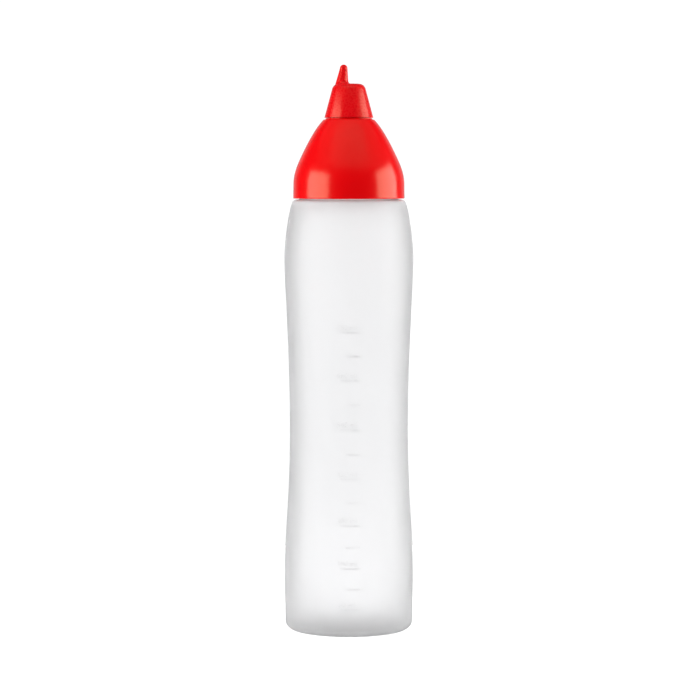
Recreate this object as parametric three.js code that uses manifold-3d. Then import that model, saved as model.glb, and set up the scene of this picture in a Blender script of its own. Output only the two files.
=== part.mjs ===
// A sauce squeeze bottle: a waisted translucent bottle, a domed screw cap over its neck,
// and a small tip cap with a leaning pull on the crown of the dome.
// Sizes are in millimetres. Z is up, the origin is the centre of the base, and the front faces -Y.

import * as THREE from 'three';
import { mergeVertices } from 'three/addons/utils/BufferGeometryUtils.js';
import Module from 'manifold-3d';

// Finishes
const MILKY_WHITE = 0xefeff0;
const SIGNAL_RED = 0xe01019;
const TIP_RED = 0xe8141d;

// How finely round shapes are stepped: the outside of a wall is finer than its inside
const BODY_SEGMENTS = 56;
const TIP_SEGMENTS = 40;
const PULL_SEGMENTS = 24;
const OUTSIDE = { bodyStep: 12, domeStep: 3.5, cornerSteps: 5, dishSteps: 4 };
const INSIDE = { bodyStep: 24, domeStep: 7, cornerSteps: 3, dishSteps: 2 };

// Stations of an outline: a radius at a height. The lean is the slope inwards from upright, in
// degrees, and the outline keeps that direction over the reach below and above the station.
const BOTTLE_WALL = 1.2;
const PUSH_UP_HEIGHT = 2.4;
const STAND_RING_INNER_RADIUS = 27;
const BASE_CORNER_RADIUS = 5.8;
const BASE_TOP = { radius: 39.6, height: BASE_CORNER_RADIUS, lean: 0, above: 10 };
const LOWER_BULGE = { radius: 40, height: 36, lean: 0, below: 10, above: 22 };
const WAIST = { radius: 36.6, height: 124, lean: 0, below: 40, above: 52 };
const UPPER_BULGE = { radius: 39.85, height: 231, lean: 0, below: 18, above: 7 };
const SHOULDER = { lean: 20, below: 8, cornerRadius: 3.2, flatRadius: 32.2, top: 266.9 };
const NECK = { radius: 30.5, top: 283 };

// Dome cap
const CAP_WALL = 1.8;
const CAP_RIM = { radius: 34.4, height: 267.6, lean: 0, above: 2.5 };
const CAP_SKIRT_TOP = { radius: 34.3, height: 276, lean: 0, below: 2.5, above: 6 };
const CAP_KNEE = { radius: 30, height: 292.3, lean: 25, below: 6, above: 8 };
const CAP_CROWN = { radius: 15.6, height: 316.2, lean: 45, below: 8 };
const COLLAR = { radius: 14.4, height: 317 };
const SPIGOT = { radius: 11.5, height: 323 };
const OUTLET_RADIUS = 8;

// Tip cap, standing just above the collar
const REST_GAP = 0.3;
const SOCKET_GAP = 0.4;
const TIP_WALL = 1.6;
const TIP_BOTTOM = { radius: 15.1, height: COLLAR.height + REST_GAP };
const TIP_TOP_HEIGHT = 338.2;
const TIP_TAPER = 0.268;
const TIP_CORNER_RADIUS = 4.2;
const TIP_SOCKET = { radius: SPIGOT.radius + SOCKET_GAP, height: SPIGOT.height + SOCKET_GAP };

// Pull on the tip cap, leaning from its root towards its tip
const PULL_ROOT = { x: -4.3, radius: 4, height: TIP_TOP_HEIGHT };
const PULL_TIP = { x: -3.2, radius: 2.35, height: 347.65 };
const PULL_FILLET_RADIUS = 1.8;
const PULL_FILLET_STEPS = 4;
const PULL_END_ANGLES = [25, 50, 70];
const PULL_SINK = 1.2;

const SAME_PLACE = 1e-4;
const { degToRad } = THREE.MathUtils;
const point = (radius, height) => new THREE.Vector2(radius, height);

// A smooth run of outline between two stations, in steps of about the given length.
function runBetween(lower, upper, stepLength) {
  const along = ({ lean }) => point(-Math.sin(degToRad(lean)), Math.cos(degToRad(lean)));
  const start = point(lower.radius, lower.height);
  const end = point(upper.radius, upper.height);
  const leaving = start.clone().addScaledVector(along(lower), lower.above);
  const arriving = end.clone().addScaledVector(along(upper), -upper.below);
  const steps = Math.max(2, Math.round(start.distanceTo(end) / stepLength));
  return new THREE.CubicBezierCurve(start, leaving, arriving, end).getPoints(steps);
}

// A round corner of an outline, between two angles measured up from level.
function roundCorner(centreRadius, centreHeight, radius, fromAngle, toAngle, steps) {
  const arc = new THREE.EllipseCurve(centreRadius, centreHeight, radius, radius, fromAngle, toAngle);
  return arc.getPoints(steps);
}

// One outline from several runs, without the doubled points where they meet.
function joined(...runs) {
  return runs.flat().filter((here, i, all) => i === 0 || here.distanceTo(all[i - 1]) > SAME_PLACE);
}

// The same outline moved towards the inside of the wall. The outline runs with its inside on
// the left, and an end on the axis stays on the axis.
function movedInwards(outline, wall) {
  const inward = (from, to) => {
    const edge = to.clone().sub(from).normalize();
    return point(-edge.y, edge.x);
  };
  const last = outline.length - 1;
  return outline.map((here, i) => {
    const before = inward(outline[Math.max(i - 1, 0)], outline[Math.max(i, 1)]);
    const after = inward(outline[Math.min(i, last - 1)], outline[Math.min(i + 1, last)]);
    const middle = before.clone().add(after).normalize();
    const moved = here.clone().addScaledVector(middle, wall / middle.dot(before));
    if (here.x === 0) moved.x = 0;
    return moved;
  });
}

// A closed round solid from a profile of radius and height.
function turned(profile, segments) {
  const geometry = new THREE.LatheGeometry(profile, segments).rotateX(Math.PI / 2);
  geometry.deleteAttribute('normal');
  geometry.deleteAttribute('uv');
  return mergeVertices(geometry, SAME_PLACE);
}

// The raised middle of the base, which falls to the ring that the bottle stands on.
function pushUp(steps) {
  const points = [];
  for (let i = 0; i <= steps; i += 1) {
    const share = i / steps;
    points.push(point(STAND_RING_INNER_RADIUS * share, PUSH_UP_HEIGHT * (1 - share ** 2)));
  }
  return points;
}

// Outline of the bottle from the middle of its base up to the foot of the neck.
function bottleOutline({ bodyStep, cornerSteps, dishSteps }) {
  const baseCentreRadius = BASE_TOP.radius - BASE_CORNER_RADIUS;
  const baseCorner = roundCorner(
    baseCentreRadius, BASE_CORNER_RADIUS, BASE_CORNER_RADIUS, -Math.PI / 2, 0, cornerSteps,
  );
  const { cornerRadius, flatRadius, top } = SHOULDER;
  const shoulderCorner = roundCorner(
    flatRadius, top - cornerRadius, cornerRadius, degToRad(SHOULDER.lean), Math.PI / 2, cornerSteps,
  );
  const [cornerStart] = shoulderCorner;
  const shoulder = { ...SHOULDER, radius: cornerStart.x, height: cornerStart.y };
  return joined(
    pushUp(dishSteps),
    baseCorner,
    runBetween(BASE_TOP, LOWER_BULGE, bodyStep),
    runBetween(LOWER_BULGE, WAIST, bodyStep),
    runBetween(WAIST, UPPER_BULGE, bodyStep),
    runBetween(UPPER_BULGE, shoulder, bodyStep / 2),
    shoulderCorner,
  );
}

function makeBottle() {
  const inside = movedInwards(bottleOutline(INSIDE), BOTTLE_WALL);
  const neckBore = NECK.radius - BOTTLE_WALL;
  const neck = [
    point(NECK.radius, SHOULDER.top),
    point(NECK.radius, NECK.top),
    point(neckBore, NECK.top),
    point(neckBore, SHOULDER.top - BOTTLE_WALL),
  ];
  return turned(joined(bottleOutline(OUTSIDE), neck, inside.reverse()), BODY_SEGMENTS);
}

// Outline of the dome from its rim up to its crown.
function domeOutline({ domeStep }) {
  return joined(
    runBetween(CAP_RIM, CAP_SKIRT_TOP, domeStep),
    runBetween(CAP_SKIRT_TOP, CAP_KNEE, domeStep),
    runBetween(CAP_KNEE, CAP_CROWN, domeStep),
  );
}

function makeDomeCap() {
  const inside = movedInwards(domeOutline(INSIDE), CAP_WALL);
  inside[0].y = CAP_RIM.height;
  const ceiling = inside[inside.length - 1].y;
  const crown = [
    point(COLLAR.radius, CAP_CROWN.height),
    point(COLLAR.radius, COLLAR.height),
    point(SPIGOT.radius, COLLAR.height),
    point(SPIGOT.radius, SPIGOT.height),
    point(OUTLET_RADIUS, SPIGOT.height),
    point(OUTLET_RADIUS, ceiling),
  ];
  const rim = point(CAP_RIM.radius, CAP_RIM.height);
  return turned(joined(domeOutline(OUTSIDE), crown, inside.reverse(), [rim]), BODY_SEGMENTS);
}

// Radius of the tip cap's side at a height.
function tipRadius(height) {
  return TIP_BOTTOM.radius - TIP_TAPER * (height - TIP_BOTTOM.height);
}

function makeTipShell() {
  const taperAngle = Math.atan(TIP_TAPER);
  const cornerHeight = TIP_TOP_HEIGHT - TIP_CORNER_RADIUS;
  const cornerCentre = tipRadius(cornerHeight) - TIP_CORNER_RADIUS / Math.cos(taperAngle);
  const topCorner = (radius, steps) => roundCorner(
    cornerCentre, cornerHeight, radius, taperAngle, Math.PI / 2, steps,
  );
  const mouth = point(TIP_SOCKET.radius, TIP_BOTTOM.height);
  return turned([
    mouth,
    point(TIP_BOTTOM.radius, TIP_BOTTOM.height),
    ...topCorner(TIP_CORNER_RADIUS, OUTSIDE.cornerSteps),
    point(0, TIP_TOP_HEIGHT),
    point(0, TIP_TOP_HEIGHT - TIP_WALL),
    ...topCorner(TIP_CORNER_RADIUS - TIP_WALL, INSIDE.cornerSteps).reverse(),
    point(TIP_SOCKET.radius, TIP_SOCKET.height),
    mouth,
  ], TIP_SEGMENTS);
}

// The rings of the pull, from its sunk foot to the last one under its round end. The fillet
// swells each ring towards +X only, so the outer side stays one straight line.
function pullRings() {
  const length = PULL_TIP.height - PULL_ROOT.height;
  const slope = (PULL_TIP.radius - PULL_ROOT.radius) / length;
  const shift = (PULL_TIP.x - PULL_ROOT.x) / length;
  const ringAt = (rise) => {
    const left = Math.min(Math.max(1 - rise / PULL_FILLET_RADIUS, 0), 1);
    const swell = PULL_FILLET_RADIUS * (1 - Math.sqrt(1 - left ** 2)) / 2;
    return {
      x: PULL_ROOT.x + shift * rise + swell,
      radius: PULL_ROOT.radius + slope * rise + swell,
      height: PULL_ROOT.height + rise,
    };
  };
  const rises = [-PULL_SINK];
  for (let i = 0; i <= PULL_FILLET_STEPS; i += 1) {
    rises.push(PULL_FILLET_RADIUS * (i / PULL_FILLET_STEPS) ** 2);
  }
  rises.push(length);
  const roundEnd = PULL_END_ANGLES.map(degToRad).map((angle) => ({
    x: PULL_TIP.x,
    radius: PULL_TIP.radius * Math.cos(angle),
    height: PULL_TIP.height + PULL_TIP.radius * Math.sin(angle),
  }));
  return [...rises.map(ringAt), ...roundEnd];
}

// A closed solid through a stack of level rings, with a point above the last ring.
function makePull() {
  const rings = pullRings();
  const vertices = [];
  const faces = [];
  for (const ring of rings) {
    for (let i = 0; i < PULL_SEGMENTS; i += 1) {
      const turn = 2 * Math.PI * i / PULL_SEGMENTS;
      vertices.push(ring.x + ring.radius * Math.cos(turn), ring.radius * Math.sin(turn), ring.height);
    }
  }
  const foot = vertices.length / 3;
  vertices.push(rings[0].x, 0, rings[0].height);
  vertices.push(PULL_TIP.x, 0, PULL_TIP.height + PULL_TIP.radius);
  const lastRing = (rings.length - 1) * PULL_SEGMENTS;
  for (let i = 0; i < PULL_SEGMENTS; i += 1) {
    const next = (i + 1) % PULL_SEGMENTS;
    faces.push(foot, next, i);
    faces.push(foot + 1, lastRing + i, lastRing + next);
    for (let row = 0; row < lastRing; row += PULL_SEGMENTS) {
      faces.push(row + i, row + next, row + PULL_SEGMENTS + next);
      faces.push(row + i, row + PULL_SEGMENTS + next, row + PULL_SEGMENTS + i);
    }
  }
  const geometry = new THREE.BufferGeometry();
  geometry.setAttribute('position', new THREE.Float32BufferAttribute(vertices, 3));
  geometry.setIndex(faces);
  return geometry;
}

const wasm = await Module();
wasm.setup();

function toSolid(geometry) {
  return new wasm.Manifold(new wasm.Mesh({
    numProp: 3,
    vertProperties: new Float32Array(geometry.attributes.position.array),
    triVerts: new Uint32Array(geometry.index.array),
  }));
}

function fromSolid(solid) {
  const mesh = solid.getMesh();
  const geometry = new THREE.BufferGeometry();
  geometry.setAttribute('position', new THREE.Float32BufferAttribute(mesh.vertProperties, 3));
  geometry.setIndex(new THREE.BufferAttribute(mesh.triVerts, 1));
  return geometry;
}

function makeTipCap() {
  return fromSolid(toSolid(makeTipShell()).add(toSolid(makePull())));
}

function piece(name, geometry, finish) {
  geometry.computeVertexNormals();
  const mesh = new THREE.Mesh(geometry, new THREE.MeshStandardMaterial(finish));
  mesh.name = name;
  return mesh;
}

const squeezeBottle = new THREE.Group();
squeezeBottle.name = 'squeeze_bottle';
squeezeBottle.add(
  piece('bottle', makeBottle(), { color: MILKY_WHITE, roughness: 0.5, metalness: 0 }),
  piece('dome_cap', makeDomeCap(), { color: SIGNAL_RED, roughness: 0.35, metalness: 0 }),
  piece('tip_cap', makeTipCap(), { color: TIP_RED, roughness: 0.38, metalness: 0 }),
);

export default squeezeBottle;
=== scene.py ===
"""Looks of a tall squeeze bottle for sauces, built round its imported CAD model.

The bottle stands on the origin with +Z up and its graduated front towards -Y. Sizes in the
classes are millimetres. Only the floor, lights and camera are placed in metres, as every mesh is.
"""

import logging
import math
from contextlib import contextmanager
from dataclasses import dataclass
from enum import Enum
from itertools import pairwise
from typing import Iterator

import bpy
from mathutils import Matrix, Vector
from mathutils.geometry import interpolate_bezier


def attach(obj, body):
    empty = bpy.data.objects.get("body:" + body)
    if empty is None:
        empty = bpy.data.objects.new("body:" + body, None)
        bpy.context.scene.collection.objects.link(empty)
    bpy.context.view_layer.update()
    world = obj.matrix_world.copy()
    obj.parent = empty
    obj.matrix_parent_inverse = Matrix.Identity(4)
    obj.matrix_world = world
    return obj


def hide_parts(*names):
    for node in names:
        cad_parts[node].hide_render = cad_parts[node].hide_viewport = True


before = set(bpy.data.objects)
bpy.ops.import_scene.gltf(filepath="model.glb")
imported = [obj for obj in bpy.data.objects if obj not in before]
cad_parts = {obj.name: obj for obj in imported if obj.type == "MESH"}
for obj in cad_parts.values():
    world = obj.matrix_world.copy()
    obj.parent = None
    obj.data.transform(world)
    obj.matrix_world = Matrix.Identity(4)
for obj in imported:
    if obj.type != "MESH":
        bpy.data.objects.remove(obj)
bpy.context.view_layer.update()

log = logging.getLogger("squeeze_bottle")

MM = 0.001
CUBIC_MM_PER_ML = 1000
BODY = "root"

# Points of an outline closer than this are one point, in millimetres
SAME_POINT = 1e-4
# A point nearer to the axis than this is on it, in millimetres
ON_AXIS = 1e-6
# A curved run of outline has at least this many points
FEWEST_POINTS = 3

# Vertices closer than this are welded, in millimetres
WELD = 0.01
FINE_WELD = 0.001
# Faces across each rounded edge
ROUNDING_STEPS = 3

# Nearly all of a noise pattern lies in this range
PATTERN_RANGE = (0.3, 0.7)
WHITE = (1.0, 1.0, 1.0, 1.0)
# Watts for each square metre of a lamp that shines with a radiance of one
WATTS_PER_RADIANCE = 4.0

Outline = list[Vector]
Colour = tuple[float, float, float]
Span = tuple[float, float]


class Node(Enum):
    """The CAD nodes of the bottle."""

    BOTTLE = "bottle"
    DOME_CAP = "dome_cap"
    TIP_CAP = "tip_cap"


class Slot(Enum):
    """The finishes that the record names."""

    MILKY = "milky_plastic"
    RED = "red_plastic"
    RED_TIP = "red_tip_plastic"


# Outlines of turned pieces


@dataclass(frozen=True)
class Station:
    """A place on an outline.

    The wall leans inwards from upright by `lean` degrees there, and the outline keeps that
    direction over the reach `below` and `above` the place.
    """

    radius: float
    height: float
    lean: float = 0.0
    below: float = 0.0
    above: float = 0.0

    def place(self) -> Vector:
        """The radius and height of the station."""
        return Vector((self.radius, self.height))

    def along(self) -> Vector:
        """The direction in which the wall runs upwards here."""
        lean = math.radians(self.lean)
        return Vector((-math.sin(lean), math.cos(lean)))


def run_between(lower: Station, upper: Station, step: float) -> Outline:
    """Makes a smooth run of outline between two stations.

    Args:
        lower: where the run starts.
        upper: where the run ends.
        step: about how long each straight piece is.

    Returns:
        The points of the run, with both ends.
    """
    start = lower.place()
    end = upper.place()
    leaving = start + lower.along() * lower.above
    arriving = end - upper.along() * upper.below
    count = max(FEWEST_POINTS, round((end - start).length / step) + 1)
    return interpolate_bezier(start, leaving, arriving, end, count)


def round_corner(centre: Vector, radius: float, start: float, end: float, steps: int) -> Outline:
    """Makes a round corner of an outline.

    Args:
        centre: the centre of the corner.
        radius: the radius of the corner.
        start: the first angle, in degrees up from level.
        end: the last angle.
        steps: how many straight pieces the corner has.

    Returns:
        The points of the corner, with both ends.
    """
    points = []
    for i in range(steps + 1):
        angle = math.radians(start + (end - start) * i / steps)
        points.append(centre + Vector((math.cos(angle), math.sin(angle))) * radius)
    return points


def joined(*runs: Outline) -> Outline:
    """Joins runs into one outline, without the doubled points where they meet.

    Args:
        *runs: the runs, in order.

    Returns:
        The points of the whole outline.
    """
    points = [point for run in runs for point in run]
    kept = points[:1]
    kept += [here for last, here in pairwise(points) if (here - last).length > SAME_POINT]
    return kept


def moved_inwards(outline: Outline, wall: float) -> Outline:
    """Moves an outline towards the inside of its wall, which is on the left of its way.

    Args:
        outline: the outer outline.
        wall: how far to move it.

    Returns:
        The inner outline, whose point on the axis stays on the axis.
    """
    edges = [(here - last).normalized() for last, here in pairwise(outline)]
    moved = []
    for i, here in enumerate(outline):
        before = edges[max(i - 1, 0)]
        after = edges[min(i, len(edges) - 1)]
        inward = Vector((-before.y, before.x))
        middle = (inward + Vector((-after.y, after.x))).normalized()
        place = here + middle * (wall / middle.dot(inward))
        if here.x < ON_AXIS:
            place.x = 0.0
        moved.append(place)
    return moved


# Modelling steps


def clear_selection() -> None:
    """Deselects everything, so that an operator acts on its own piece only."""
    bpy.ops.object.select_all(action="DESELECT")


def pick(*pieces: bpy.types.Object) -> None:
    """Selects some pieces alone and makes the first of them active.

    Args:
        *pieces: the pieces to select.
    """
    clear_selection()
    for piece in pieces:
        piece.select_set(True)
    bpy.context.view_layer.objects.active = pieces[0]


def settle(name: str) -> bpy.types.Object:
    """Names the active piece and puts its place into its mesh.

    Args:
        name: the name of the piece.

    Returns:
        The piece, with its object at the origin.
    """
    piece = bpy.context.active_object
    piece.name = name
    piece.data.name = name
    bpy.ops.object.transform_apply(location=True, rotation=True, scale=True)
    return piece


@contextmanager
def edit_mode(piece: bpy.types.Object) -> Iterator[None]:
    """Keeps a piece in edit mode, all of it selected, while the block runs.

    Args:
        piece: the piece to edit.

    Yields:
        Nothing, once the piece is in edit mode.
    """
    pick(piece)
    bpy.ops.object.mode_set(mode="EDIT")
    bpy.ops.mesh.select_mode(type="VERT")
    bpy.ops.mesh.select_all(action="SELECT")
    yield
    bpy.ops.object.mode_set(mode="OBJECT")


def apply_modifier(piece: bpy.types.Object, kind: str, **settings: object) -> None:
    """Adds one modifier to a piece and applies it.

    Args:
        piece: the piece to change.
        kind: the kind of the modifier.
        **settings: the modifier's own settings.
    """
    pick(piece)
    bpy.ops.object.modifier_add(type=kind)
    modifier = piece.modifiers[-1]
    for key, value in settings.items():
        setattr(modifier, key, value)
    bpy.ops.object.modifier_apply(modifier=modifier.name)


def round_edges(piece: bpy.types.Object, width: float, angle: float = 40.0) -> None:
    """Rounds the sharp edges of a piece.

    Args:
        piece: the piece to change.
        width: the width of the rounding.
        angle: the smallest angle that counts as sharp, in degrees.
    """
    apply_modifier(
        piece,
        "BEVEL",
        width=width * MM,
        segments=ROUNDING_STEPS,
        limit_method="ANGLE",
        angle_limit=math.radians(angle),
    )


def smooth(piece: bpy.types.Object, angle: float = 35.0) -> None:
    """Shades a piece smooth, apart from edges sharper than an angle in degrees."""
    pick(piece)
    bpy.ops.object.shade_smooth_by_angle(angle=math.radians(angle))


def turned(name: str, outline: Outline, segments: int) -> bpy.types.Object:
    """Draws an outline by extruding one vertex, and spins it round the axis.

    Args:
        name: the name of the piece.
        outline: the closed outline, or one that starts and ends on the axis.
        segments: how many steps the turn has.

    Returns:
        The closed round piece.
    """
    places = [Vector((point.x, 0.0, point.y)) * MM for point in outline]
    clear_selection()
    bpy.ops.mesh.primitive_plane_add(size=MM, location=places[0])
    piece = settle(name)
    with edit_mode(piece):
        bpy.ops.mesh.merge(type="CENTER")
        for last, here in pairwise(places):
            bpy.ops.mesh.extrude_region_move(TRANSFORM_OT_translate={"value": here - last})
        bpy.ops.mesh.select_all(action="SELECT")
        bpy.ops.mesh.spin(steps=segments, angle=2 * math.pi, center=(0, 0, 0), axis=(0, 0, 1))
        bpy.ops.mesh.select_all(action="SELECT")
        bpy.ops.mesh.remove_doubles(threshold=WELD * MM)
        bpy.ops.mesh.normals_make_consistent(inside=False)
    return piece


# Finishes


@dataclass(frozen=True)
class Pattern:
    """A noise: how many cells a metre holds along each axis, and how many finer layers it has."""

    cells: tuple[float, float, float]
    layers: float


class NodeBench:
    """Lays out the nodes of one material, or of the room round the bottle."""

    def __init__(self, owner: bpy.types.Material | bpy.types.World) -> None:
        """Turns on the nodes of their owner, which is a new material or room."""
        owner.use_nodes = True
        self.tree = owner.node_tree

    def own(self, name: str) -> bpy.types.Node:
        """The node of a name that a new material or room starts with."""
        return self.tree.nodes[name]

    def fill(self, node: bpy.types.Node, inputs: dict[str | int, object]) -> None:
        """Links sources to the sockets of a node, and sets the values of others.

        Args:
            node: the node to fill.
            inputs: values and sources for its sockets, by name or place.
        """
        for key, value in inputs.items():
            socket = node.inputs[key]
            if isinstance(value, bpy.types.NodeSocket):
                self.tree.links.new(value, socket)
            else:
                socket.default_value = value

    def add(
        self, kind: str, inputs: dict[str | int, object] | None = None, **settings: object
    ) -> bpy.types.NodeOutputs:
        """Adds one node.

        Args:
            kind: the kind of the node.
            inputs: values and sources for its sockets, by name or place.
            **settings: the node's own settings.

        Returns:
            What comes out of the node.
        """
        node = self.tree.nodes.new(kind)
        for key, value in settings.items():
            setattr(node, key, value)
        self.fill(node, inputs or {})
        return node.outputs

    def coordinates(self) -> bpy.types.NodeSocket:
        """The piece's own coordinates."""
        return self.add("ShaderNodeTexCoord")["Object"]

    def maths(self, kind: str, *sources: object) -> bpy.types.NodeSocket:
        """Works out one number from others, in the way that the kind names."""
        return self.add("ShaderNodeMath", dict(enumerate(sources)), operation=kind)[0]

    def ranged(
        self, source: bpy.types.NodeSocket, reads: Span, gives: tuple[object, object], way: str = "LINEAR"
    ) -> bpy.types.NodeSocket:
        """Turns one range of values into another, and keeps to its ends beyond them.

        Args:
            source: what is read.
            reads: the range of the source.
            gives: the value or source that each end of it becomes.
            way: how the value goes from one end to the other.

        Returns:
            The value.
        """
        inputs = {
            "Value": source,
            "From Min": reads[0],
            "From Max": reads[1],
            "To Min": gives[0],
            "To Max": gives[1],
        }
        return self.add("ShaderNodeMapRange", inputs, interpolation_type=way)[0]

    def noise(self, pattern: Pattern) -> bpy.types.NodeSocket:
        """Adds a noise on the piece's own coordinates.

        Args:
            pattern: the size and layers of the noise.

        Returns:
            The strength of the noise.
        """
        placed = self.add("ShaderNodeMapping", {"Vector": self.coordinates(), "Scale": pattern.cells})[0]
        inputs = {"Vector": placed, "Scale": 1.0, "Detail": pattern.layers}
        return self.add("ShaderNodeTexNoise", inputs)["Fac"]

    def around(self, source: bpy.types.NodeSocket, middle: float, spread: float) -> bpy.types.NodeSocket:
        """Lets a value wander to either side of its middle by a pattern."""
        return self.ranged(source, PATTERN_RANGE, (middle - spread, middle + spread))

    def mixed(self, source: bpy.types.NodeSocket, *colours: Colour) -> bpy.types.NodeSocket:
        """Mixes two colours by a pattern.

        Args:
            source: the pattern.
            *colours: the colour in its low places and the one in its high places.

        Returns:
            The mixed colour.
        """
        node = self.tree.nodes.new("ShaderNodeValToRGB")
        self.fill(node, {"Fac": source})
        for end, position, colour in zip(node.color_ramp.elements, PATTERN_RANGE, colours):
            end.position = position
            end.color = (*colour, 1.0)
        return node.outputs["Color"]

    def bumped(
        self, source: bpy.types.NodeSocket, depth: float, before: bpy.types.NodeSocket | None = None
    ) -> bpy.types.NodeSocket:
        """Raises a surface by a pattern.

        Args:
            source: the pattern.
            depth: how high the pattern stands.
            before: the normal of an earlier pattern that this one is laid over.

        Returns:
            The bumped normal.
        """
        inputs = {"Height": source, "Distance": depth * MM, "Strength": 1.0}
        if before is not None:
            inputs["Normal"] = before
        return self.add("ShaderNodeBump", inputs)["Normal"]


@dataclass(frozen=True)
class MilkyPlastic:
    """Natural polyethylene: milky, satin outside, and light comes through its wall.

    Less light comes through a ring round the top of the shoulder, so the plastic looks whiter there:
    painted light over the shaded line under the cap. The wall is even there, not thicker.
    """

    name: str = "milky_polyethylene"
    colour: Colour = (0.96, 0.96, 0.965)
    thin_colour: Colour = (0.975, 0.975, 0.98)
    roughness: float = 0.45
    roughness_spread: float = 0.05
    transmission: float = 0.9
    painted_light_transmission: float = 0.6
    painted_light_height: float = 265.2
    painted_light_core: float = 1.4
    painted_light_reach: float = 2.2
    bend: float = 1.26
    gloss: float = 0.12
    flow: Pattern = Pattern((30.0, 30.0, 9.0), 2.0)
    grain: Pattern = Pattern((2600.0, 2600.0, 2600.0), 2.0)
    grain_depth: float = 0.006
    ripple: Pattern = Pattern((70.0, 70.0, 28.0), 1.0)
    ripple_depth: float = 0.12

    def clearness(self, bench: NodeBench) -> bpy.types.NodeSocket:
        """Works out how much light comes through at each height.

        Args:
            bench: the nodes of the material that it is for.

        Returns:
            The share of the light that comes through.
        """
        height = bench.add("ShaderNodeSeparateXYZ", {0: bench.coordinates()})["Z"]
        # The ring round the top of the shoulder lets less light through, which paints light over the shaded
        # line under the cap
        away = bench.maths("ABSOLUTE", bench.maths("SUBTRACT", height, self.painted_light_height * MM))
        ring = (self.painted_light_core * MM, self.painted_light_reach * MM)
        return bench.ranged(away, ring, (self.painted_light_transmission, self.transmission))

    def material(self) -> bpy.types.Material:
        """Makes the material.

        Returns:
            The material, named for its plastic.
        """
        material = bpy.data.materials.new(self.name)
        bench = NodeBench(material)
        grain = bench.noise(self.grain)
        rippled = bench.bumped(bench.noise(self.ripple), self.ripple_depth)
        inputs = {
            "Base Color": bench.mixed(bench.noise(self.flow), self.colour, self.thin_colour),
            "Roughness": bench.around(grain, self.roughness, self.roughness_spread),
            "Normal": bench.bumped(grain, self.grain_depth, rippled),
            "IOR": self.bend,
            "Specular IOR Level": self.gloss,
            "Transmission Weight": self.clearness(bench),
        }
        bench.fill(bench.own("Principled BSDF"), inputs)
        return material


@dataclass(frozen=True)
class RedPlastic:
    """Semi-gloss moulded red plastic."""

    name: str
    colour: Colour
    deep_colour: Colour
    roughness: float
    gloss: float
    roughness_spread: float = 0.03
    bend: float = 1.49
    gloss_tint: Colour = (1.0, 0.9, 0.6)
    flow: Pattern = Pattern((45.0, 45.0, 20.0), 2.0)
    peel: Pattern = Pattern((900.0, 900.0, 900.0), 2.0)
    peel_depth: float = 0.005

    def material(self) -> bpy.types.Material:
        """Makes the material.

        Returns:
            The material, named for its plastic.
        """
        material = bpy.data.materials.new(self.name)
        bench = NodeBench(material)
        peel = bench.noise(self.peel)
        inputs = {
            "Base Color": bench.mixed(bench.noise(self.flow), self.deep_colour, self.colour),
            "Roughness": bench.around(peel, self.roughness, self.roughness_spread),
            "Normal": bench.bumped(peel, self.peel_depth),
            "IOR": self.bend,
            "Specular IOR Level": self.gloss,
            "Specular Tint": (*self.gloss_tint, 1.0),
        }
        bench.fill(bench.own("Principled BSDF"), inputs)
        return material


# Pieces


def finish_piece(
    piece: bpy.types.Object, material: bpy.types.Material, node: Node | None = None
) -> None:
    """Gives a piece its material and ties it to the frame.

    Args:
        piece: the finished mesh.
        material: its material.
        node: the CAD node that it stands for, if any.
    """
    piece.data.materials.clear()
    piece.data.materials.append(material)
    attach(piece, BODY)
    if node is not None:
        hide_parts(node.value)
    size = " x ".join(f"{side / MM:.1f}" for side in piece.dimensions)
    log.info("%s: %d faces, %s mm", piece.name, len(piece.data.polygons), size)


@dataclass
class Bottle:
    """The hollow waisted bottle, from its pushed-up base to its neck."""

    wall: float = 1.2
    segments: int = 144
    step: float = 2.5
    edge: float = 0.3
    push_up: float = 2.4
    stand_ring: float = 27.0
    dish_steps: int = 12
    base_corner: float = 5.8
    base_corner_steps: int = 12
    base_top: Station = Station(39.6, 5.8, above=10.0)
    lower_bulge: Station = Station(40.0, 36.0, below=10.0, above=22.0)
    waist: Station = Station(36.6, 124.0, below=40.0, above=52.0)
    upper_bulge: Station = Station(39.85, 231.0, below=18.0, above=7.0)
    shoulder_lean: float = 20.0
    shoulder_reach: float = 8.0
    shoulder_corner: float = 3.2
    shoulder_corner_steps: int = 8
    shoulder_flat: float = 32.2
    shoulder_top: float = 266.9
    neck_radius: float = 30.5
    neck_top: float = 283.0

    def outline(self) -> Outline:
        """Draws the outside from the middle of the base up to the foot of the neck.

        Returns:
            The points of the outside.
        """
        shares = [i / self.dish_steps for i in range(self.dish_steps + 1)]
        dish = [Vector((self.stand_ring * share, self.push_up * (1 - share**2))) for share in shares]
        base_centre = Vector((self.base_top.radius - self.base_corner, self.base_corner))
        base = round_corner(base_centre, self.base_corner, -90.0, 0.0, self.base_corner_steps)
        top_centre = Vector((self.shoulder_flat, self.shoulder_top - self.shoulder_corner))
        top = round_corner(
            top_centre, self.shoulder_corner, self.shoulder_lean, 90.0, self.shoulder_corner_steps
        )
        shoulder = Station(top[0].x, top[0].y, self.shoulder_lean, below=self.shoulder_reach)
        stations = (self.base_top, self.lower_bulge, self.waist, self.upper_bulge, shoulder)
        runs = [run_between(lower, upper, self.step) for lower, upper in pairwise(stations)]
        return joined(dish, base, *runs, top)

    def build(self, finish: MilkyPlastic) -> bpy.types.Object:
        """Models the bottle and dresses it.

        Args:
            finish: its plastic.

        Returns:
            The bottle.
        """
        outside = self.outline()
        inside = moved_inwards(outside, self.wall)
        bore = self.neck_radius - self.wall
        neck = [
            Vector((self.neck_radius, self.shoulder_top)),
            Vector((self.neck_radius, self.neck_top)),
            Vector((bore, self.neck_top)),
            Vector((bore, self.shoulder_top - self.wall)),
        ]
        piece = turned("bottle_body", joined(outside, neck, inside[::-1]), self.segments)
        round_edges(piece, self.edge)
        smooth(piece)
        finish_piece(piece, finish.material(), Node.BOTTLE)
        return piece


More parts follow.
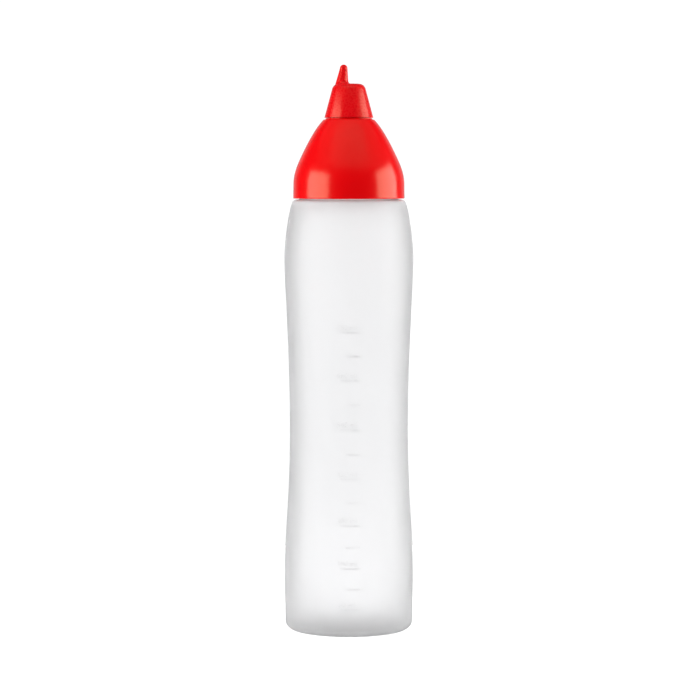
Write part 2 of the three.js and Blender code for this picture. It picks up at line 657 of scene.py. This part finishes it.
@dataclass
class DomeCap:
    """The domed screw cap, with the collar and spigot that the tip cap covers."""

    wall: float = 1.8
    segments: int = 144
    step: float = 1.2
    edge: float = 0.35
    rim: Station = Station(34.4, 267.6, above=2.5)
    skirt_top: Station = Station(34.3, 276.0, below=2.5, above=6.0)
    knee: Station = Station(30.0, 292.3, 25.0, below=6.0, above=8.0)
    crown: Station = Station(15.6, 316.2, 45.0, below=8.0)
    collar_radius: float = 14.4
    collar_top: float = 317.0
    spigot_radius: float = 11.5
    spigot_top: float = 323.0
    outlet_radius: float = 8.0

    def outline(self) -> Outline:
        """Draws the outside of the dome from its rim up to its crown."""
        stations = (self.rim, self.skirt_top, self.knee, self.crown)
        return joined(*(run_between(lower, upper, self.step) for lower, upper in pairwise(stations)))

    def build(self, finish: RedPlastic) -> bpy.types.Object:
        """Models the dome cap and dresses it.

        Args:
            finish: its plastic.

        Returns:
            The dome cap.
        """
        outside = self.outline()
        inside = moved_inwards(outside, self.wall)
        inside[0].y = self.rim.height
        ceiling = inside[-1].y
        crown = [
            Vector((self.collar_radius, self.crown.height)),
            Vector((self.collar_radius, self.collar_top)),
            Vector((self.spigot_radius, self.collar_top)),
            Vector((self.spigot_radius, self.spigot_top)),
            Vector((self.outlet_radius, self.spigot_top)),
            Vector((self.outlet_radius, ceiling)),
        ]
        outline = joined(outside, crown, inside[::-1], [self.rim.place()])
        piece = turned("dome_cap_shell", outline, self.segments)
        round_edges(piece, self.edge)
        smooth(piece)
        finish_piece(piece, finish.material(), Node.DOME_CAP)
        return piece


@dataclass(frozen=True)
class Ring:
    """One level ring of the pull, with its middle at a place along X."""

    x: float
    radius: float
    height: float

    def centre(self) -> tuple[float, float, float]:
        """The middle of the ring, in metres."""
        return (self.x * MM, 0.0, self.height * MM)


@dataclass
class TipCap:
    """The small tapered cap over the spigot, with the pull that leans on its top."""

    wall: float = 1.6
    segments: int = 96
    edge: float = 0.3
    sharp_edge: float = 50.0
    bottom_radius: float = 15.1
    bottom: float = 317.3
    top: float = 338.2
    taper: float = 0.268
    corner: float = 4.2
    outer_corner_steps: int = 10
    inner_corner_steps: int = 6
    socket_radius: float = 11.9
    socket_top: float = 323.4
    pull_segments: int = 48
    pull_sink: float = 1.2
    pull_root_x: float = -4.3
    pull_root_radius: float = 4.0
    pull_tip_x: float = -3.2
    pull_tip_radius: float = 2.35
    pull_tip_height: float = 347.65
    pull_tip_angles: tuple[int, ...] = (12, 24, 36, 48, 60, 72, 82)
    pull_side_steps: int = 4
    pull_fillet: float = 1.8
    pull_fillet_steps: int = 8

    def radius(self, height: float) -> float:
        """The radius of the cap's side at a height."""
        return self.bottom_radius - self.taper * (height - self.bottom)

    def shell(self) -> bpy.types.Object:
        """Models the tapered cup with its rounded top.

        Returns:
            The closed cup.
        """
        taper = math.atan(self.taper)
        lean = math.degrees(taper)
        corner_height = self.top - self.corner
        corner_centre = Vector((self.radius(corner_height) - self.corner / math.cos(taper), corner_height))
        outer_corner = round_corner(corner_centre, self.corner, lean, 90.0, self.outer_corner_steps)
        inner_radius = self.corner - self.wall
        inner_corner = round_corner(corner_centre, inner_radius, lean, 90.0, self.inner_corner_steps)
        mouth = Vector((self.socket_radius, self.bottom))
        outline = joined(
            [mouth, Vector((self.bottom_radius, self.bottom))],
            outer_corner,
            [Vector((0.0, self.top)), Vector((0.0, self.top - self.wall))],
            inner_corner[::-1],
            [Vector((self.socket_radius, self.socket_top)), mouth],
        )
        return turned("tip_cap_shell", outline, self.segments)

    def pull_rings(self) -> list[Ring]:
        """Lists the level rings of the pull, whose fillet swells towards +X only.

        Returns:
            The rings, from the sunk foot up.
        """
        length = self.pull_tip_height - self.top
        side = length - self.pull_fillet
        slope = (self.pull_tip_radius - self.pull_root_radius) / length
        shift = (self.pull_tip_x - self.pull_root_x) / length
        steps = self.pull_fillet_steps
        rises = [-self.pull_sink]
        rises += [self.pull_fillet * (i / steps) ** 2 for i in range(steps + 1)]
        steps = self.pull_side_steps
        rises += [self.pull_fillet + side * i / steps for i in range(1, steps + 1)]
        rings = []
        for rise in rises:
            left = min(max(1 - rise / self.pull_fillet, 0.0), 1.0)
            swell = self.pull_fillet * (1 - math.sqrt(1 - left**2)) / 2
            x = self.pull_root_x + shift * rise + swell
            rings.append(Ring(x, self.pull_root_radius + slope * rise + swell, self.top + rise))
        for angle in self.pull_tip_angles:
            turn = math.radians(angle)
            height = self.pull_tip_height + self.pull_tip_radius * math.sin(turn)
            rings.append(Ring(self.pull_tip_x, self.pull_tip_radius * math.cos(turn), height))
        return rings

    def pull(self) -> bpy.types.Object:
        """Models the pull by extruding a disc from ring to ring.

        Returns:
            The closed pull.
        """
        rings = self.pull_rings()
        foot = rings[0]
        clear_selection()
        bpy.ops.mesh.primitive_circle_add(
            vertices=self.pull_segments,
            radius=foot.radius * MM,
            fill_type="NGON",
            location=foot.centre(),
        )
        piece = settle("pull")
        with edit_mode(piece):
            for low, high in pairwise(rings):
                step = Vector((high.x - low.x, 0.0, high.height - low.height)) * MM
                scale = high.radius / low.radius
                bpy.ops.mesh.extrude_region_move(TRANSFORM_OT_translate={"value": step})
                bpy.ops.transform.resize(value=(scale, scale, 1.0), center_override=high.centre())
            end = Vector((0.0, 0.0, self.pull_tip_height + self.pull_tip_radius - rings[-1].height)) * MM
            bpy.ops.mesh.extrude_region_move(TRANSFORM_OT_translate={"value": end})
            bpy.ops.mesh.merge(type="CENTER")
            bpy.ops.mesh.select_all(action="SELECT")
            bpy.ops.mesh.normals_make_consistent(inside=False)
        return piece

    def build(self, finish: RedPlastic) -> bpy.types.Object:
        """Models the tip cap and dresses it.

        Args:
            finish: its plastic.

        Returns:
            The tip cap.
        """
        piece = self.shell()
        pull = self.pull()
        apply_modifier(piece, "BOOLEAN", operation="UNION", solver="EXACT", object=pull)
        bpy.data.objects.remove(pull)
        round_edges(piece, self.edge, self.sharp_edge)
        smooth(piece)
        finish_piece(piece, finish.material(), Node.TIP_CAP)
        return piece


@dataclass
class Graduations:
    """The plain raised scale in millilitres on the front of the bottle.

    The marks stand where the volume inside the outline reaches them, all raised by `floor`. The
    interval and the floor are chosen so that the lowest bars are where the photograph has them,
    so the figures are a guess. The bars and figures are laid out flat, `clearance` in front of
    the bottle, and wrapped on it. A figure is `figure_share` of its type's size.
    """

    bottle: Bottle
    interval: int = 60
    last: int = 780
    floor: float = 3.9
    clearance: float = 5.0
    relief: float = 0.25
    sharp_edge: float = 30.0
    bar_end: float = 6.9
    bar_height: float = 0.8
    bar_steps: int = 12
    long_bar: float = 12.0
    short_bar: float = 8.8
    figure_centre: float = -1.2
    figure_height: float = 3.2
    figure_gap: float = 1.6
    figure_thinning: float = 0.12
    figure_share: float = 0.7
    curve_steps: int = 4

    def heights(self) -> dict[int, float]:
        """Finds how high each mark stands.

        Returns:
            The height of each mark, by its millilitres.
        """
        outside = [point for point in self.bottle.outline() if point.x > self.bottle.stand_ring]
        volume = 0.0
        wanted = list(range(self.interval, self.last + 1, self.interval))
        found = {}
        for low, high in pairwise(outside):
            radius = (low.x + high.x) / 2 - self.bottle.wall
            layer = math.pi * radius**2 * (high.y - low.y) / CUBIC_MM_PER_ML
            while wanted and volume + layer >= wanted[0]:
                share = (wanted[0] - volume) / layer
                found[wanted.pop(0)] = low.y + (high.y - low.y) * share + self.floor
            volume += layer
        return found

    def front(self, across: float, height: float) -> Vector:
        """A place in front of the bottle, from how far across and how high it is."""
        return Vector((across, -self.bottle.lower_bulge.radius - self.clearance, height)) * MM

    def bar(self, height: float, length: float) -> bpy.types.Object:
        """Lays out one bar of the scale in front of the bottle.

        Args:
            height: the height of the bar.
            length: the length of the bar.

        Returns:
            The flat bar.
        """
        clear_selection()
        bpy.ops.mesh.primitive_grid_add(
            x_subdivisions=self.bar_steps,
            y_subdivisions=1,
            size=1.0,
            location=self.front(self.bar_end - length / 2, height),
            rotation=(math.pi / 2, 0.0, 0.0),
        )
        bpy.context.active_object.scale = (length * MM, self.bar_height * MM, 1.0)
        return settle(f"bar_{height:.0f}")

    def figure(self, text: str, height: float) -> bpy.types.Object:
        """Lays out one plain figure above its bar.

        Args:
            text: what it says.
            height: the height of its foot.

        Returns:
            The flat figure as a mesh.
        """
        clear_selection()
        bpy.ops.object.text_add()
        words = bpy.context.active_object
        words.data.body = text
        words.data.align_x = "CENTER"
        words.data.size = self.figure_height * MM / self.figure_share
        words.data.resolution_u = self.curve_steps
        words.data.offset = -self.figure_thinning * MM
        bpy.ops.object.convert(target="MESH")
        words = bpy.context.active_object
        words.rotation_euler = (math.pi / 2, 0.0, 0.0)
        words.location = self.front(self.figure_centre, height)
        return settle(f"figure_{text}")

    def build(self, body: bpy.types.Object, finish: MilkyPlastic) -> bpy.types.Object:
        """Models the scale, wraps it on the bottle and dresses it.

        Args:
            body: the bottle that carries it.
            finish: the plastic of the scale.

        Returns:
            The scale.
        """
        parts = []
        for volume, height in self.heights().items():
            major = volume // self.interval % 2 == 1
            parts.append(self.bar(height, self.long_bar if major else self.short_bar))
            if major:
                parts.append(self.figure(f"{volume} ml", height + self.figure_gap))
        pick(*parts)
        bpy.ops.object.join()
        piece = settle("raised_scale")
        apply_modifier(
            piece,
            "SHRINKWRAP",
            target=body,
            wrap_method="PROJECT",
            use_project_y=True,
            use_positive_direction=True,
            use_negative_direction=False,
        )
        with edit_mode(piece):
            bpy.ops.mesh.remove_doubles(threshold=FINE_WELD * MM)
            bpy.ops.mesh.normals_make_consistent(inside=False)
        apply_modifier(piece, "SOLIDIFY", thickness=2 * self.relief * MM, offset=0.0)
        with edit_mode(piece):
            bpy.ops.mesh.normals_make_consistent(inside=False)
        smooth(piece, self.sharp_edge)
        finish_piece(piece, finish.material())
        return piece


# Studio


class Reach(Enum):
    """Where a lamp's light goes: on to surfaces, into their gloss, and through the milky plastic."""

    KEY = (True, True, False)
    FILL = (True, False, False)
    PANEL = (False, False, True)


@dataclass
class Softbox:
    """A soft box light that faces a point on the bottle's axis, `aim` above the floor.

    The azimuth goes from the front towards +X. Both angles are degrees, and sizes are metres.
    """

    name: str
    azimuth: float
    elevation: float
    distance: float
    width: float
    height: float
    radiance: float
    reach: Reach = Reach.KEY
    aim: float = 0.2

    def build(self) -> bpy.types.Object:
        """Hangs the light.

        Returns:
            The lamp.
        """
        azimuth = math.radians(self.azimuth)
        elevation = math.radians(self.elevation)
        level = Vector((math.sin(azimuth), -math.cos(azimuth), 0.0)) * math.cos(elevation)
        away = level + Vector((0.0, 0.0, math.sin(elevation)))
        place = Vector((0.0, 0.0, self.aim)) + away * self.distance
        turn = away.to_track_quat("Z", "Y").to_euler()
        bpy.ops.object.light_add(type="AREA", location=place, rotation=turn)
        lamp = bpy.context.active_object
        lamp.name = self.name
        lamp.data.shape = "RECTANGLE"
        lamp.data.size = self.width
        lamp.data.size_y = self.height
        lamp.data.energy = WATTS_PER_RADIANCE * self.radiance * self.width * self.height
        lamp.visible_diffuse, lamp.visible_glossy, lamp.visible_transmission = self.reach.value
        return lamp


@dataclass
class Studio:
    """The white floor, the lights, the room and the camera.

    Sizes and places are metres, apart from the lens and the width of the film, which are
    millimetres. The room is bright straight behind the bottle: its light starts where a
    direction's share along +Y is `back_edge` and is full at `back_full`. The floor glows in the
    same way from `floor_edge` to `floor_full`, a painted light, and is dim under the bottle, a painted
    shadow.
    """

    lamps: tuple[Softbox, ...] = (
        Softbox("left_box", -68.0, 0.0, 0.9, 0.83, 0.70, 3.5, aim=0.34),
        Softbox("right_box", 87.5, 0.0, 0.9, 0.90, 0.74, 3.35, aim=0.36),
        Softbox("top_box", 0.0, 88.0, 1.2, 3.0, 1.4, 0.15),
        Softbox("front_fill", 0.0, 65.0, 2.2, 3.0, 1.8, 1.3, Reach.FILL),
        Softbox("left_panel", -75.0, 0.0, 1.3, 2.2, 1.8, 0.8, Reach.PANEL),
        Softbox("right_panel", 75.0, 0.0, 1.3, 2.2, 1.8, 0.8, Reach.PANEL),
        Softbox("front_panel", 0.0, 0.0, 2.6, 4.4, 3.0, 0.8, Reach.PANEL),
    )
    backdrop: float = 1.05
    back_light: float = 1.1
    back_gloss: float = 0.45
    room_light: float = 0.04
    back_edge: float = 0.6
    back_full: float = 0.95
    floor_radius: float = 0.4
    floor_height: float = -0.0002
    floor_segments: int = 128
    floor_roughness: float = 0.9
    floor_colour: Colour = (0.55, 0.55, 0.55)
    floor_edge: float = 0.88
    floor_full: float = 1.0
    floor_glow: float = 0.84
    floor_shadow_glow: float = 0.35
    shadow_radius: float = 0.028
    shadow_edge_radius: float = 0.04
    lens: float = 147.6
    film: float = 36.0
    near: float = 0.05
    far: float = 50.0
    distance: float = 1.7756
    eye: float = 0.2852
    pitch: float = 3.59
    aside: float = 0.0007

    def light(self) -> None:
        """Hangs the lights."""
        for lamp in self.lamps:
            lamp.build()
            log.info("%s: radiance %.2f", lamp.name, lamp.radiance)

    def room(self) -> None:
        """Makes the white backdrop behind and the dim room in front."""
        world = bpy.data.worlds.new("studio_room")
        bpy.context.scene.world = world
        bench = NodeBench(world)
        path = bench.add("ShaderNodeLightPath")
        direction = bench.add("ShaderNodeTexCoord")["Generated"]
        backward = bench.add("ShaderNodeSeparateXYZ", {0: direction})["Y"]
        mirrored = bench.maths("MULTIPLY", path["Is Glossy Ray"], path["Is Reflection Ray"])
        back = bench.ranged(mirrored, (0.0, 1.0), (self.back_light, self.back_gloss))
        edge = (self.back_edge, self.back_full)
        level = bench.ranged(backward, edge, (self.room_light, back), "SMOOTHSTEP")
        glow = bench.own("Background")
        bench.fill(glow, {"Color": WHITE, "Strength": level})
        paper = bench.add("ShaderNodeBackground", {"Color": WHITE, "Strength": self.backdrop})
        inputs = {0: path["Is Camera Ray"], 1: glow.outputs[0], 2: paper[0]}
        choice = bench.add("ShaderNodeMixShader", inputs)
        bench.fill(bench.own("World Output"), {"Surface": choice[0]})

    def floor_material(self) -> bpy.types.Material:
        """Makes the white floor's material, whose glow is painted light behind the bottle and is dim under
        it, a painted shadow.

        Returns:
            The material.
        """
        material = bpy.data.materials.new("white_floor")
        bench = NodeBench(material)
        place = bench.coordinates()
        away = bench.add("ShaderNodeVectorMath", {0: place}, operation="LENGTH")["Value"]
        # Painted shadow: the floor glows less within a small radius round the bottle's foot
        clear = bench.ranged(away, (self.shadow_radius, self.shadow_edge_radius), (0.0, 1.0))
        way = bench.add("ShaderNodeVectorMath", {0: place}, operation="NORMALIZE")["Vector"]
        backward = bench.add("ShaderNodeSeparateXYZ", {0: way})["Y"]
        edge = (self.floor_edge, self.floor_full)
        behind = bench.ranged(backward, edge, (0.0, 1.0), "SMOOTHSTEP")
        lit = bench.maths("MULTIPLY", clear, behind)
        glow = bench.ranged(lit, (0.0, 1.0), (self.floor_shadow_glow, self.floor_glow))
        seen = bench.add("ShaderNodeLightPath")["Is Camera Ray"]
        inputs = {
            "Base Color": (*self.floor_colour, 1.0),
            "Roughness": self.floor_roughness,
            "Specular IOR Level": 0.0,
            "Emission Color": WHITE,
            "Emission Strength": bench.ranged(seen, (0.0, 1.0), (glow, 1.0)),
        }
        bench.fill(bench.own("Principled BSDF"), inputs)
        return material

    def floor(self) -> bpy.types.Object:
        """Lays the white floor.

        Returns:
            The floor.
        """
        clear_selection()
        bpy.ops.mesh.primitive_circle_add(
            vertices=self.floor_segments,
            radius=self.floor_radius,
            fill_type="NGON",
            location=(0.0, 0.0, self.floor_height),
        )
        floor = settle("studio_floor")
        floor.data.materials.append(self.floor_material())
        return floor

    def camera(self) -> bpy.types.Object:
        """Sets the camera at the distance, height and tilt worked out from the photograph.

        Returns:
            The camera.
        """
        tilt = math.radians(90.0 - self.pitch)
        place = (self.aside, -self.distance, self.eye)
        bpy.ops.object.camera_add(location=place, rotation=(tilt, 0.0, 0.0))
        camera = bpy.context.active_object
        camera.name = "camera"
        camera.data.lens = self.lens
        camera.data.sensor_width = self.film
        camera.data.clip_start = self.near
        camera.data.clip_end = self.far
        bpy.context.scene.camera = camera
        return camera

    def build(self) -> None:
        """Sets up the whole studio."""
        self.camera()
        self.floor()
        self.light()
        self.room()
        bpy.context.scene.view_settings.view_transform = "Standard"


def main() -> None:
    """Builds the bottle, its caps and the studio in order."""
    logging.basicConfig(level=logging.INFO, format="%(name)s: %(message)s")
    bottle = Bottle()
    body = bottle.build(MilkyPlastic())
    Graduations(bottle).build(body, MilkyPlastic("milky_relief", transmission=0.8))
    DomeCap().build(RedPlastic("signal_red_plastic", (0.93, 0.0008, 0.004), (0.89, 0.0006, 0.003), 0.21, 0.5))
    TipCap().build(RedPlastic("tip_red_plastic", (0.87, 0.003, 0.008), (0.83, 0.002, 0.006), 0.28, 0.36))
    Studio().build()


if __name__ == "__main__":
    main()
